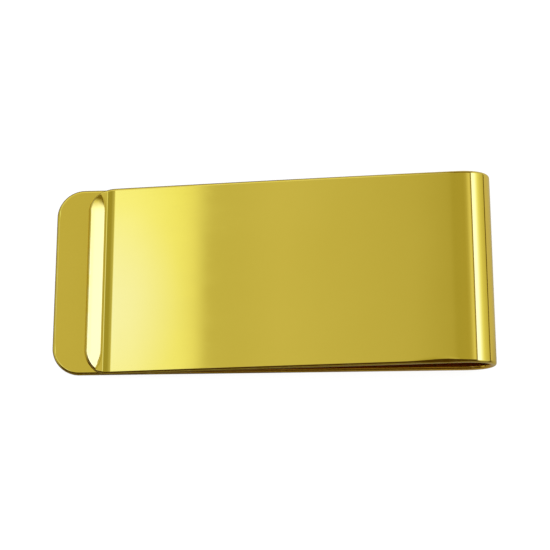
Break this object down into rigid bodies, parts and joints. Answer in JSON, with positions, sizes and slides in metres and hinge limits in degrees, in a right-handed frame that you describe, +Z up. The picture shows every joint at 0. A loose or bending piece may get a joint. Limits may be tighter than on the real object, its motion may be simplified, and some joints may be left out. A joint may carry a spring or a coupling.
{
  "type": "money clip",
  "caption": "Polished gold money clip: a folded spring strip whose bowed front leaf pinches banknotes against a longer back leaf and ends in a flared lip.",
  "frame": {"origin": "on the outer face of the back leaf, under the middle of the clip", "axes": "+X along the clip towards the fold, +Y across the strip, +Z up from the back leaf to the front leaf"},
  "size_m": [0.0546, 0.024, 0.0057],
  "materials": {
    "polished_gold": "mirror-polished pale yellow gold plating over spring brass, with tumbled edges"
  },
  "bodies": {
    "back": {"back_leaf": "polished_gold", "fold_lower_half": "polished_gold"},
    "front": {"fold_upper_half": "polished_gold", "front_leaf": "polished_gold", "pinch_lip": "polished_gold"}
  },
  "joints": [
    {"name": "fold_flex", "type": "hinge", "parent": "back", "child": "front", "pos_m": [0.02695, 0, 0.00291], "axis": [0, 1, 0], "range_deg": [0, 6], "stiffness_Nm_per_rad": 4}
  ]
}
